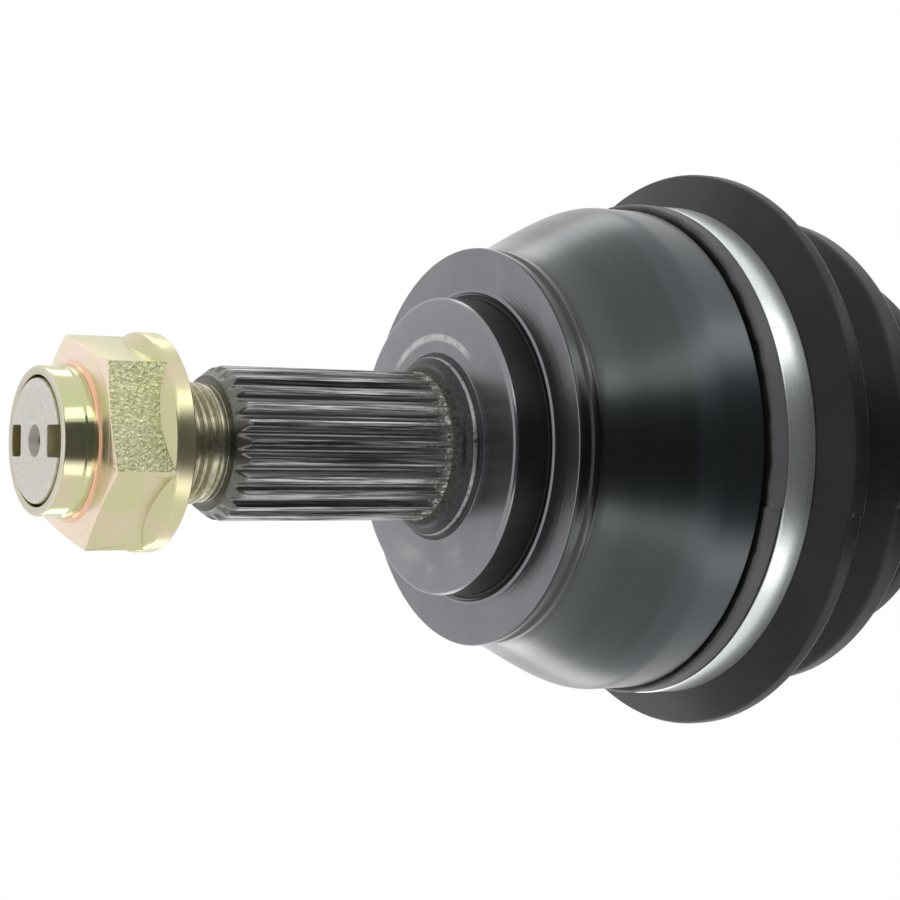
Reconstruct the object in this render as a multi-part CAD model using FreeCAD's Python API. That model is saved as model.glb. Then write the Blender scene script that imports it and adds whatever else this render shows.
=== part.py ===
"""Front-wheel drive shaft: a fixed ball joint with a splined stub at the wheel end, a solid bar,
and a plunging ball joint with a splined stub at the gearbox end.

Millimetres. The X axis is the shaft's axis. The origin is on the wheel bearing's shoulder face.
The stub and its nut lie towards -X, the gearbox lies towards +X, and +Z is up.
"""
import math
import os

import FreeCAD, Part
from FreeCAD import Vector

os.makedirs("parts", exist_ok=True)

# Driving dimensions of the wheel stub
stub_length = 80.9
thread_radius = 11.0
thread_length = 30.6
thread_pitch = 1.5
thread_depth = 0.85
thread_turns = 15
undercut_depth = 0.8
undercut_length = 2.0
spline_radius = 14.1
spline_depth = 1.2
spline_nose_radius = 12.3
spline_teeth = 25
spline_end = 7.1
stake_slot_width = 5.6
stake_slot_depth = 5.0
stake_slot_length = 9.0
shoulder_radius = 28.6
shoulder_height = 7.5

# Driving dimensions of the wheel joint
flange_radius = 38.4
flange_thickness = 5.8
bell_radius = 47.8
bell_start = 34.0
boot_seat_radius = 45.6
boot_seat_start = 42.6
bell_end = 56.0
joint_depth = 21.0
wheel_ball_radius = 8.7
wheel_pitch_radius = 31.5
track_offset = 4.0
cage_radius = 34.8
cage_bore_radius = 28.6
cage_half_width = 13.5
race_half_width = 12.5
wheel_bend_deg = 42.0

# Driving dimensions of the hub nut
nut_flange_radius = 19.55
nut_flange_thickness = 3.4
nut_hex_flats = 33.9
nut_collar_radius = 13.16
nut_length = 21.65
nut_setback = 0.3
nut_turn_deg = -14.6
nut_sides = 6

# Driving dimensions of the bar
centre_distance = 400.0
bar_radius = 12.0
bar_spline_radius = 12.4
bar_spline_depth = 0.9
bar_spline_teeth = 26

# Driving dimensions of the gearbox joint and its stub
cup_radius = 42.5
gearbox_ball_radius = 8.0
gearbox_pitch_radius = 27.0
gearbox_cage_radius = 31.0
gearbox_cage_bore_radius = 24.6
gearbox_cage_offset = 3.0
gearbox_cage_half_width = 12.0
gearbox_race_half_width = 12.0
plunge = 15.0
mouth_reach = 24.0
seal_radius = 17.5
seal_length = 16.0
gearbox_spline_radius = 13.4
gearbox_spline_length = 34.0
gearbox_spline_teeth = 27

# Driving dimensions of the boots and clamps
boot_wall = 2.6
wheel_folds = [
    (0.0, 55.9, 3.0, 2.8),
    (20.5, 48.2, 6.4, 5.0),
    (36.0, 38.5, 4.2, 2.8),
    (49.5, 30.5, 3.6, 2.5),
    (61.0, 24.0, 3.2, 2.0),
]
gearbox_folds = [
    (0.0, 50.0, 3.2, 2.5),
    (15.5, 45.5, 3.6, 2.8),
    (29.0, 40.5, 3.6, 2.5),
    (41.0, 34.0, 3.2, 2.2),
    (51.5, 28.0, 3.0, 2.0),
]
clamp_wall = 0.8
wheel_clamp_width = 6.6
small_clamp_width = 6.0

# Fits between pieces that move
running = 0.08
ball_play = 0.2
window_play = 0.35
edge_gap = 0.06
ball_count = 6

# Stations along the axis
AXIS = Vector(1, 0, 0)
wheel_centre = bell_end - joint_depth
gearbox_centre = wheel_centre + centre_distance
ball_angles = [30.0 + 360.0 / ball_count * n for n in range(ball_count)]


def radial(angle):
    """Unit direction away from the axis, at an angle from +Y towards +Z."""
    a = math.radians(angle)
    return Vector(0, math.cos(a), math.sin(a))


def across(angle):
    """Unit direction round the axis, square to radial."""
    return radial(angle + 90)


def section(points):
    """Closed face in the X-Y plane; a third number on a point rounds that corner."""
    count = len(points)
    edges = []
    starts = []
    ends = []
    bends = []
    for n in range(count):
        here = Vector(points[n][0], points[n][1], 0)
        size = points[n][2] if len(points[n]) > 2 else 0.0
        before = Vector(points[n - 1][0], points[n - 1][1], 0) - here
        after_point = points[(n + 1) % count]
        after = Vector(after_point[0], after_point[1], 0) - here
        before.normalize()
        after.normalize()
        if size <= 0:
            starts.append(here)
            ends.append(here)
            bends.append(None)
            continue
        half = before.getAngle(after) / 2
        back = size / math.tan(half)
        middle = before + after
        middle.normalize()
        starts.append(here + before * back)
        ends.append(here + after * back)
        bends.append(here + middle * (size / math.sin(half) - size))
    for n in range(count):
        if bends[n] is not None:
            edges.append(Part.Arc(starts[n], bends[n], ends[n]).toShape())
        following = (n + 1) % count
        if ends[n].distanceToPoint(starts[following]) > 1e-6:
            edges.append(Part.LineSegment(ends[n], starts[following]).toShape())
    return Part.Face(Part.Wire(Part.__sortEdges__(edges)))


def turned(points):
    """Solid turned about the X axis from a closed outline of (x, radius) corners."""
    return section(points).revolve(Vector(0, 0, 0), AXIS, 360)


def tube(x, length, outer, inner):
    """Plain ring between two radii."""
    return turned([(x, inner), (x + length, inner), (x + length, outer), (x, outer)])


def rod(x, length, radius):
    """Plain cylinder on the axis."""
    return Part.makeCylinder(radius, length, Vector(x, 0, 0), AXIS)


def ball_at(centre, radius):
    """Sphere whose seam stands upright."""
    return Part.makeSphere(radius, centre)


def toothed(x, length, root, tip, teeth):
    """Prism with straight-sided teeth, one of them centred on -Y."""
    step = 360.0 / teeth
    root_half = 0.34 * step
    tip_half = 0.17 * step
    edges = []
    for n in range(teeth):
        middle = 180.0 + n * step
        a = radial(middle - root_half) * root
        b = radial(middle - tip_half) * tip
        c = radial(middle + tip_half) * tip
        d = radial(middle + root_half) * root
        e = radial(middle + step - root_half) * root
        edges.append(Part.LineSegment(a, b).toShape())
        edges.append(Part.Arc(b, radial(middle) * tip, c).toShape())
        edges.append(Part.LineSegment(c, d).toShape())
        edges.append(Part.Arc(d, radial(middle + step / 2) * root, e).toShape())
    face = Part.Face(Part.Wire(edges))
    face.translate(Vector(x, 0, 0))
    return face.extrude(Vector(length, 0, 0))


def snap_ring(x, radius, wire_radius, gap_deg):
    """Round wire ring with a gap at the bottom."""
    start = radial(gap_deg / 2 - 90) * radius + Vector(x, 0, 0)
    circle = Part.Circle(start, across(gap_deg / 2 - 90), wire_radius).toShape()
    face = Part.Face(Part.Wire(circle))
    return face.revolve(Vector(x, 0, 0), AXIS, 360 - gap_deg)


def arc_track(centre_x, path_radius, tube_radius, angle, low, high):
    """Curved ball groove: a tube bent about a point on the axis, between two angles."""
    centre = Vector(centre_x, 0, 0)
    start = centre + radial(angle) * path_radius
    face = Part.Face(Part.Wire(Part.Circle(start, AXIS, tube_radius).toShape()))
    face.rotate(centre, across(angle), low)
    return face.revolve(centre, across(angle), high - low)


def window(x, half_length, half_width, inner, outer, angle, corner):
    """Cutter for a cage window: a block with rounded corners, pointing away from the axis."""
    block = Part.makeBox(
        2 * half_length, outer - inner, 2 * half_width, Vector(x - half_length, inner, -half_width)
    )
    upright = []
    for edge in block.Edges:
        ends = edge.Vertexes
        if abs(ends[0].Point.y - ends[1].Point.y) > 1:
            upright.append(edge)
    block = block.makeFillet(corner, upright)
    block.rotate(Vector(0, 0, 0), AXIS, angle)
    return block


def band_clamp(x, width, inner, ear_width, ear_height):
    """Steel band round a boot's cuff, with its pinched ear on +Y."""
    outer = inner + clamp_wall
    band = tube(x, width, outer, inner)
    ear = Part.makeBox(
        width, ear_height + clamp_wall, ear_width, Vector(x, outer - clamp_wall / 2, -ear_width / 2)
    )
    tops = []
    for edge in ear.Edges:
        ends = [v.Point.y for v in edge.Vertexes]
        along = abs(edge.Vertexes[0].Point.x - edge.Vertexes[1].Point.x) > width / 2
        if along and min(ends) > outer + ear_height / 2:
            tops.append(edge)
    ear = ear.makeFillet(ear_height / 3, tops)
    hollow = Part.makeBox(
        width + 2,
        ear_height - clamp_wall,
        ear_width - 2 * clamp_wall,
        Vector(x - 1, outer, -ear_width / 2 + clamp_wall),
    )
    shell = ear.cut(hollow)
    return band.fuse(shell).removeSplitter()


def centre_drill(x, way, size):
    """Cutter for the lathe centre in a shaft's end."""
    depth = 3.2 * size
    points = [
        (x - way, 0),
        (x - way, 2.0 * size + 1),
        (x, 2.0 * size),
        (x + way * size, size),
        (x + way * depth, size),
        (x + way * (depth + size * 0.6), 0),
    ]
    return turned(points)


def save(shape, name):
    """Write one piece, checked for being one sound solid."""
    if shape.ShapeType != "Solid":
        shape = shape.Solids[0] if len(shape.Solids) == 1 else shape
    if not shape.isValid() or len(shape.Solids) != 1:
        raise ValueError(name + " is not one sound solid")
    shape.exportStep("parts/" + name + ".step")


# Wheel joint: bell, shoulder and stub, turned in one piece
housing_sphere = cage_radius + running
spline_root = spline_radius - spline_depth
thread_end = thread_length - stub_length
undercut_end = thread_end + undercut_length
spline_nose = 2.7
thread_flat = 0.1
root_step = 17.0
flange_start = shoulder_height
flange_end = shoulder_height + flange_thickness
race_radius = cage_bore_radius - running
race_end_radius = math.sqrt(race_radius**2 - race_half_width**2)
race_swing = math.atan2(race_end_radius, race_half_width) - math.radians(wheel_bend_deg)
cavity_room = 1.0
cavity_bottom = wheel_centre - race_radius * math.cos(race_swing) - cavity_room
track_radius = wheel_ball_radius + ball_play
path_radius = math.hypot(wheel_pitch_radius, track_offset)
bar_swing = math.radians(wheel_bend_deg)
mouth_room = 3.3
mouth_radius = joint_depth * math.tan(bar_swing) + bar_radius / math.cos(bar_swing) + mouth_room
sphere_reach = 10.9
rim_steps = [(1.1, 0.0), (1.5, 0.9), (2.9, 0.9), (3.4, 0.15), (4.1, 0.15), (5.0, 0.6)]
dome_lead = 8.0
dome_tail = 4.0
dome_slope = 0.5

stub_corners = [
    (-stub_length, 0),
    (-stub_length, thread_radius, 0.7),
]
for n in range(thread_turns):
    crest_x = thread_end - thread_pitch * (thread_turns - n)
    root_x = crest_x + thread_pitch / 2
    stub_corners += [
        (crest_x + thread_flat, thread_radius),
        (root_x - thread_flat, thread_radius - thread_depth),
        (root_x + thread_flat, thread_radius - thread_depth),
        (crest_x + thread_pitch - thread_flat, thread_radius),
    ]
stub_corners += [
    (thread_end + undercut_depth * 0.6, thread_radius - undercut_depth),
    (undercut_end - undercut_depth * 0.3, thread_radius - undercut_depth),
    (undercut_end, spline_nose_radius),
    (undercut_end + spline_nose / 3, spline_root),
    (-spline_end, spline_root, 1.0),
    (-spline_end + 2.2, spline_radius + 0.7, 0.8),
    (-spline_end * 0.42, spline_radius + 1.1, 1.0),
    (-spline_end * 0.24, root_step - 0.6),
    (-spline_end * 0.24, root_step, 0.3),
    (0, root_step),
    (0, shoulder_radius, 0.8),
    (flange_start, shoulder_radius, 0.8),
    (flange_start, flange_radius, 0.6),
]
for distance, depth in rim_steps:
    stub_corners.append((flange_start + distance, flange_radius - depth, 0.2))
stub_corners += [
    (flange_end, flange_radius),
    (flange_end, 0),
]
stub = turned(stub_corners)

dome = Part.BezierCurve()
dome.setPoles(
    [
        Vector(flange_end, flange_radius, 0),
        Vector(flange_end + dome_lead, flange_radius + dome_lead * dome_slope, 0),
        Vector(bell_start - dome_tail, bell_radius, 0),
        Vector(bell_start, bell_radius, 0),
    ]
)
bell_corners = [
    Vector(bell_start, bell_radius, 0),
    Vector(boot_seat_start - 0.5, bell_radius, 0),
    Vector(boot_seat_start, bell_radius - 0.5, 0),
    Vector(boot_seat_start, boot_seat_radius, 0),
    Vector(bell_end - 1.5, boot_seat_radius, 0),
    Vector(bell_end, boot_seat_radius - 1.5, 0),
    Vector(bell_end, 0, 0),
    Vector(flange_end - 1, 0, 0),
    Vector(flange_end - 1, flange_radius - 1.6, 0),
    Vector(flange_end, flange_radius, 0),
]
bell_edges = [dome.toShape()]
for n in range(len(bell_corners) - 1):
    bell_edges.append(Part.LineSegment(bell_corners[n], bell_corners[n + 1]).toShape())
bell = Part.Face(Part.Wire(bell_edges)).revolve(Vector(0, 0, 0), AXIS, 360)

bottom_radius = math.sqrt(housing_sphere**2 - (wheel_centre - cavity_bottom) ** 2)
reach_radius = math.sqrt(housing_sphere**2 - sphere_reach**2)
cavity_edges = [
    Part.LineSegment(Vector(cavity_bottom, 0, 0), Vector(cavity_bottom, bottom_radius, 0)),
    Part.Arc(
        Vector(cavity_bottom, bottom_radius, 0),
        Vector(wheel_centre, housing_sphere, 0),
        Vector(wheel_centre + sphere_reach, reach_radius, 0),
    ),
    Part.LineSegment(
        Vector(wheel_centre + sphere_reach, reach_radius, 0), Vector(bell_end, mouth_radius, 0)
    ),
    Part.LineSegment(Vector(bell_end, mouth_radius, 0), Vector(bell_end + 5, mouth_radius, 0)),
    Part.LineSegment(Vector(bell_end + 5, mouth_radius, 0), Vector(bell_end + 5, 0, 0)),
    Part.LineSegment(Vector(bell_end + 5, 0, 0), Vector(cavity_bottom, 0, 0)),
]
cavity_wire = Part.Wire([edge.toShape() for edge in cavity_edges])
cavity = Part.Face(cavity_wire).revolve(Vector(0, 0, 0), AXIS, 360)

teeth_start = undercut_end
teeth_length = -spline_end + 1.6 - teeth_start
teeth = toothed(teeth_start, teeth_length, spline_root - 0.4, spline_radius, spline_teeth)
teeth_limit = turned(
    [
        (teeth_start, 0),
        (teeth_start, spline_nose_radius),
        (teeth_start + spline_nose, spline_radius, 0.8),
        (teeth_start + teeth_length, spline_radius),
        (teeth_start + teeth_length, 0),
    ]
)
housing = stub.fuse(bell).fuse(teeth.common(teeth_limit)).cut(cavity)
for angle in ball_angles:
    housing = housing.cut(
        arc_track(wheel_centre + track_offset, path_radius, track_radius, angle, -50.0, 44.0)
    )
housing = housing.cut(centre_drill(-stub_length, 1, 1.6))
for angle in (0, 180):
    slot = Part.makeBox(
        stake_slot_length + 1,
        stake_slot_depth + 2,
        stake_slot_width,
        Vector(-stub_length - 1, thread_radius - stake_slot_depth, -stake_slot_width / 2),
    )
    slot.rotate(Vector(0, 0, 0), AXIS, angle)
    housing = housing.cut(slot)
save(housing.removeSplitter(), "wheel_joint_housing")

# Hub nut: hexagon, flange and thin staking collar
nut_start = -stub_length + nut_setback
nut_end = nut_start + nut_length
nut_flange_start = nut_end - nut_flange_thickness
nut_corner_radius = nut_hex_flats / math.sqrt(3)
nut_hex_start = nut_start + 7.1
nut_collar_end = nut_start + 5.6
nut_cone = 1.9
nut_skirt = 1.9
nut_bore_radius = thread_radius + running
collar_bore_radius = thread_radius + 0.6
hex_points = []
for n in range(nut_sides + 1):
    corner = radial(180 + nut_turn_deg + (n + 0.5) * 360 / nut_sides) * nut_corner_radius
    hex_points.append(corner + Vector(nut_hex_start, 0, 0))
hexagon = Part.Face(Part.makePolygon(hex_points)).extrude(Vector(nut_end - 1 - nut_hex_start, 0, 0))
hex_limit = turned(
    [
        (nut_hex_start, 0),
        (nut_hex_start, nut_hex_flats / 2 - 0.5),
        (nut_hex_start + nut_cone, nut_corner_radius),
        (nut_flange_start, nut_flange_radius),
        (nut_end - 1, nut_flange_radius),
        (nut_end - 1, 0),
    ]
)
nut_turning = turned(
    [
        (nut_start, collar_bore_radius, 0.3),
        (nut_start, nut_collar_radius, 0.5),
        (nut_start + 4.3, nut_collar_radius, 0.3),
        (nut_start + 4.6, nut_collar_radius + 0.25, 0.2),
        (nut_collar_end, nut_collar_radius + 0.25),
        (nut_hex_start - 0.3, nut_collar_radius + 1.2, 1.0),
        (nut_hex_start, nut_hex_flats / 2 - 1.2),
        (nut_hex_start + 1, nut_hex_flats / 2 - 1.2),
        (nut_flange_start - nut_skirt, nut_hex_flats / 2 - 1.2),
        (nut_flange_start - nut_skirt, nut_hex_flats / 2),
        (nut_flange_start, nut_flange_radius, 0.4),
        (nut_end, nut_flange_radius, 0.6),
        (nut_end, nut_bore_radius + 1.2),
        (nut_end - 1.2, nut_bore_radius),
        (nut_start + 5.2, nut_bore_radius),
        (nut_start + 4.8, collar_bore_radius),
    ]
)
nut_bore = rod(nut_start - 1, nut_length + 2, nut_bore_radius)
hub_nut = hexagon.common(hex_limit).cut(nut_bore).fuse(nut_turning)
save(hub_nut.removeSplitter(), "hub_nut")

# Wheel joint: ball cage, its balls and the inner race on the bar
cage_end_radius = math.sqrt(cage_radius**2 - cage_half_width**2)
cage_bore_end = math.sqrt(cage_bore_radius**2 - cage_half_width**2)
cage_low = wheel_centre - cage_half_width
cage_high = wheel_centre + cage_half_width
cage_outline = [
    Part.LineSegment(Vector(cage_low, cage_bore_end, 0), Vector(cage_low, cage_end_radius, 0)),
    Part.Arc(
        Vector(cage_low, cage_end_radius, 0),
        Vector(wheel_centre, cage_radius, 0),
        Vector(cage_high, cage_end_radius, 0),
    ),
    Part.LineSegment(Vector(cage_high, cage_end_radius, 0), Vector(cage_high, cage_bore_end, 0)),
    Part.Arc(
        Vector(cage_high, cage_bore_end, 0),
        Vector(wheel_centre, cage_bore_radius, 0),
        Vector(cage_low, cage_bore_end, 0),
    ),
]
cage_face = Part.Face(Part.Wire([edge.toShape() for edge in cage_outline]))
cage = cage_face.revolve(Vector(0, 0, 0), AXIS, 360)
for angle in ball_angles:
    cage = cage.cut(
        window(
            wheel_centre,
            wheel_ball_radius + window_play,
            wheel_ball_radius + 1.5,
            cage_bore_radius - 8,
            cage_radius + 4,
            angle,
            3.5,
        )
    )
save(cage, "wheel_joint_cage")

for n, angle in enumerate(ball_angles):
    place = Vector(wheel_centre, 0, 0) + radial(angle) * wheel_pitch_radius
    save(ball_at(place, wheel_ball_radius), "wheel_joint_ball_" + str(n + 1))

bar_spline_root = bar_spline_radius - bar_spline_depth
race_low = wheel_centre - race_half_width
race_high = wheel_centre + race_half_width


def bored(solid, low, high):
    """Cut the splined bore that matches the bar, with a lead at each end."""
    solid = solid.cut(toothed(low - 1, high - low + 2, bar_spline_root, bar_spline_radius, bar_spline_teeth))
    lead = 0.8
    for end, way in ((low, 1), (high, -1)):
        cone = turned(
            [
                (end - way, 0),
                (end - way, bar_spline_radius + lead + 1),
                (end + way * lead, bar_spline_radius),
                (end + way * lead, 0),
            ]
        )
        solid = solid.cut(cone)
    return solid


race_outline = [
    Part.LineSegment(Vector(race_low, 0, 0), Vector(race_low, race_end_radius, 0)),
    Part.Arc(
        Vector(race_low, race_end_radius, 0),
        Vector(wheel_centre, race_radius, 0),
        Vector(race_high, race_end_radius, 0),
    ),
    Part.LineSegment(Vector(race_high, race_end_radius, 0), Vector(race_high, 0, 0)),
    Part.LineSegment(Vector(race_high, 0, 0), Vector(race_low, 0, 0)),
]
race_face = Part.Face(Part.Wire([edge.toShape() for edge in race_outline]))
race = race_face.revolve(Vector(0, 0, 0), AXIS, 360)
for angle in ball_angles:
    race = race.cut(
        arc_track(wheel_centre - track_offset, path_radius, track_radius, angle, -40.0, 40.0)
    )
save(bored(race, race_low, race_high), "wheel_joint_inner_race")

# Bar with a splined end in each inner race
clip_wire = 1.0
clip_groove_depth = 1.3
clip_groove_half = clip_wire + 0.15
bar_overhang = 4.6
bar_low = race_low - bar_overhang
gearbox_race_low = gearbox_centre - gearbox_race_half_width
gearbox_race_high = gearbox_centre + gearbox_race_half_width
bar_high = gearbox_race_high + bar_overhang
collar_length = 3.0
collar_radius = bar_spline_radius + 1.3
groove_floor = bar_spline_root - clip_groove_depth + 0.4
wheel_clip_x = race_low - clip_wire - 0.05
gearbox_clip_x = gearbox_race_high + clip_wire + 0.05
bar = turned(
    [
        (bar_low, 0),
        (bar_low, bar_spline_root - 0.8),
        (bar_low + 0.8, bar_spline_root),
        (wheel_clip_x - clip_groove_half, bar_spline_root),
        (wheel_clip_x - clip_groove_half, groove_floor),
        (wheel_clip_x + clip_groove_half, groove_floor),
        (wheel_clip_x + clip_groove_half, bar_spline_root),
        (race_high, bar_spline_root),
        (race_high, collar_radius, 0.5),
        (race_high + collar_length, collar_radius, 1.0),
        (race_high + collar_length + 4, bar_radius, 4.0),
        (gearbox_race_low - collar_length - 4, bar_radius, 4.0),
        (gearbox_race_low - collar_length, collar_radius, 1.0),
        (gearbox_race_low, collar_radius, 0.5),
        (gearbox_race_low, bar_spline_root),
        (gearbox_clip_x - clip_groove_half, bar_spline_root),
        (gearbox_clip_x - clip_groove_half, groove_floor),
        (gearbox_clip_x + clip_groove_half, groove_floor),
        (gearbox_clip_x + clip_groove_half, bar_spline_root),
        (bar_high - 0.8, bar_spline_root),
        (bar_high, bar_spline_root - 0.8),
        (bar_high, 0),
    ]
)


wheel_teeth = toothed(
    bar_low + 1.6, race_high + 0.5 - bar_low - 1.6, bar_spline_root, bar_spline_radius, bar_spline_teeth
)
gearbox_teeth = toothed(
    gearbox_race_low - 0.5,
    bar_high - 1.6 - gearbox_race_low + 0.5,
    bar_spline_root,
    bar_spline_radius,
    bar_spline_teeth,
)
for block, clip_x in ((wheel_teeth, wheel_clip_x), (gearbox_teeth, gearbox_clip_x)):
    ring = tube(clip_x - clip_groove_half, 2 * clip_groove_half, bar_spline_radius + 1, groove_floor)
    bar = bar.fuse(block.cut(ring))
bar = bar.cut(centre_drill(bar_low, 1, 1.5)).cut(centre_drill(bar_high, -1, 1.5))
save(bar.removeSplitter(), "drive_bar")
clip_radius = groove_floor + clip_wire + 0.05
save(snap_ring(wheel_clip_x, clip_radius, clip_wire, 24), "wheel_joint_circlip")
save(snap_ring(gearbox_clip_x, clip_radius, clip_wire, 24), "gearbox_joint_circlip")

# Gearbox joint: cup with straight grooves, closed by its stub
cup_bore = gearbox_cage_radius + running
cup_low = gearbox_centre - plunge - mouth_reach
cup_bottom = gearbox_centre + plunge + 23.0
cup_high = cup_bottom + 8.0
cup_seat_radius = cup_radius - 1.5
cup_seat_length = 13.0
gearbox_track = gearbox_ball_radius + ball_play
ring_x = cup_low + 3.0
ring_width = 1.6
ring_depth = 1.6
neck_radius = seal_radius + 4.5
seal_start = cup_high + 6.0
seal_end = seal_start + seal_length
gearbox_spline_start = seal_end + 3.0
gearbox_spline_end = gearbox_spline_start + gearbox_spline_length
gearbox_spline_root = gearbox_spline_radius - 1.1
tip_end = gearbox_spline_end + 9.0
tip_radius = gearbox_spline_root - 0.3
stub_clip_x = gearbox_spline_end + 2.5
stub_clip_floor = tip_radius - 1.2
cup = turned(
    [
        (cup_low, 0),
        (cup_low, cup_seat_radius, 0.8),
        (cup_low + cup_seat_length, cup_seat_radius),
        (cup_low + cup_seat_length, cup_radius, 0.5),
        (cup_bottom + 2, cup_radius, 6.0),
        (cup_high, neck_radius + 3, 3.0),
        (seal_start, neck_radius, 1.0),
        (seal_start, seal_radius),
        (seal_end, seal_radius, 0.8),
        (seal_end + 1, gearbox_spline_root + 0.6),
        (gearbox_spline_start, gearbox_spline_root),
        (gearbox_spline_end, gearbox_spline_root),
        (gearbox_spline_end + 0.3, tip_radius),
        (stub_clip_x - clip_groove_half, tip_radius),
        (stub_clip_x - clip_groove_half, stub_clip_floor),
        (stub_clip_x + clip_groove_half, stub_clip_floor),
        (stub_clip_x + clip_groove_half, tip_radius),
        (tip_end, tip_radius, 1.2),
        (tip_end, 0),
    ]
)
gearbox_teeth_limit = turned(
    [
        (gearbox_spline_start, 0),
        (gearbox_spline_start, gearbox_spline_root),
        (gearbox_spline_start + 1.6, gearbox_spline_radius),
        (gearbox_spline_end - 1.2, gearbox_spline_radius),
        (gearbox_spline_end, gearbox_spline_root - 0.2),
        (gearbox_spline_end, 0),
    ]
)
gearbox_teeth_block = toothed(
    gearbox_spline_start,
    gearbox_spline_length,
    gearbox_spline_root - 0.4,
    gearbox_spline_radius,
    gearbox_spline_teeth,
)
cup = cup.fuse(gearbox_teeth_block.common(gearbox_teeth_limit))
cup = cup.cut(rod(cup_low - 1, cup_bottom - cup_low + 1, cup_bore))
for angle in ball_angles:
    track = rod(cup_low - 1, cup_bottom - cup_low - 1, gearbox_track)
    track.translate(radial(angle) * gearbox_pitch_radius)
    cup = cup.cut(track)
cup = cup.cut(tube(ring_x, ring_width, cup_bore + ring_depth, cup_bore - 2))
cup = cup.cut(centre_drill(tip_end, -1, 1.5))
save(cup.removeSplitter(), "gearbox_joint_housing")
save(
    snap_ring(stub_clip_x, stub_clip_floor + clip_wire + 0.05, clip_wire, 30),
    "gearbox_stub_circlip",
)
ring_bar = section(
    [
        (ring_x + 0.05, cup_bore - 1.1),
        (ring_x + ring_width - 0.05, cup_bore - 1.1),
        (ring_x + ring_width - 0.05, cup_bore + ring_depth - 0.1),
        (ring_x + 0.05, cup_bore + ring_depth - 0.1),
    ]
)
ring_bar.rotate(Vector(0, 0, 0), AXIS, -84)
save(ring_bar.revolve(Vector(0, 0, 0), AXIS, 348), "gearbox_joint_retaining_ring")

# Gearbox joint: inner race, cage whose two spheres are offset, and balls
gearbox_race_radius = gearbox_cage_bore_radius - running
inner_x = gearbox_centre - gearbox_cage_offset
outer_x = gearbox_centre + gearbox_cage_offset
low_edge = math.sqrt(gearbox_race_radius**2 - (gearbox_race_low - inner_x) ** 2)
high_edge = math.sqrt(gearbox_race_radius**2 - (gearbox_race_high - inner_x) ** 2)
race_outline = [
    Part.LineSegment(Vector(gearbox_race_low, 0, 0), Vector(gearbox_race_low, low_edge, 0)),
    Part.Arc(
        Vector(gearbox_race_low, low_edge, 0),
        Vector(inner_x, gearbox_race_radius, 0),
        Vector(gearbox_race_high, high_edge, 0),
    ),
    Part.LineSegment(Vector(gearbox_race_high, high_edge, 0), Vector(gearbox_race_high, 0, 0)),
    Part.LineSegment(Vector(gearbox_race_high, 0, 0), Vector(gearbox_race_low, 0, 0)),
]
race_face = Part.Face(Part.Wire([edge.toShape() for edge in race_outline]))
race = race_face.revolve(Vector(0, 0, 0), AXIS, 360)
for angle in ball_angles:
    track = rod(gearbox_race_low - 1, 2 * gearbox_race_half_width + 2, gearbox_track)
    track.translate(radial(angle) * gearbox_pitch_radius)
    race = race.cut(track)
save(bored(race, gearbox_race_low, gearbox_race_high), "gearbox_joint_inner_race")

cage_low = gearbox_centre - gearbox_cage_half_width
cage_high = gearbox_centre + gearbox_cage_half_width
outer_low = math.sqrt(gearbox_cage_radius**2 - (cage_low - outer_x) ** 2)
outer_high = math.sqrt(gearbox_cage_radius**2 - (cage_high - outer_x) ** 2)
inner_low = math.sqrt(gearbox_cage_bore_radius**2 - (cage_low - inner_x) ** 2)
bore_edge = 0.92 * gearbox_cage_bore_radius
bore_start = inner_x + math.sqrt(gearbox_cage_bore_radius**2 - bore_edge**2)
cage_outline = [
    Part.LineSegment(Vector(cage_low, inner_low, 0), Vector(cage_low, outer_low, 0)),
    Part.Arc(
        Vector(cage_low, outer_low, 0),
        Vector(outer_x, gearbox_cage_radius, 0),
        Vector(cage_high, outer_high, 0),
    ),
    Part.LineSegment(Vector(cage_high, outer_high, 0), Vector(cage_high, bore_edge, 0)),
    Part.LineSegment(Vector(cage_high, bore_edge, 0), Vector(bore_start, bore_edge, 0)),
    Part.Arc(
        Vector(bore_start, bore_edge, 0),
        Vector(inner_x, gearbox_cage_bore_radius, 0),
        Vector(cage_low, inner_low, 0),
    ),
]
cage_face = Part.Face(Part.Wire([edge.toShape() for edge in cage_outline]))
cage = cage_face.revolve(Vector(0, 0, 0), AXIS, 360)
for angle in ball_angles:
    cage = cage.cut(
        window(
            gearbox_centre,
            gearbox_ball_radius + window_play,
            gearbox_ball_radius + 1.2,
            gearbox_cage_bore_radius - 8,
            gearbox_cage_radius + 4,
            angle,
            3.0,
        )
    )
save(cage, "gearbox_joint_cage")

for n, angle in enumerate(ball_angles):
    place = Vector(gearbox_centre, 0, 0) + radial(angle) * gearbox_pitch_radius
    save(ball_at(place, gearbox_ball_radius), "gearbox_joint_ball_" + str(n + 1))


# Boots: folded rubber sleeves, each with a wide cuff, falling folds and a narrow cuff
def folds_of(start, way, folds):
    """Outer and inner corners of the crests and valleys, from the wide cuff to the narrow one."""
    outer = []
    inner = []
    for n, (distance, radius, width, size) in enumerate(folds):
        x = start + way * distance
        outer.append((x - way * width / 2, radius, fold_edge_round))
        outer.append((x + way * width / 2, radius, size))
        inner.append((x, radius - boot_wall * crest_share, fold_edge_round))
        if n + 1 < len(folds):
            following = folds[n + 1]
            gap = following[0] - following[2] / 2 - distance - width / 2
            valley_x = x + way * (width / 2 + gap / 2)
            valley_radius = following[1] - gap * valley_share
            outer.append((valley_x, valley_radius, fold_valley_round))
            inner.append((valley_x, valley_radius - boot_wall * valley_wall, fold_inner_round))
    return outer, inner


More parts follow.
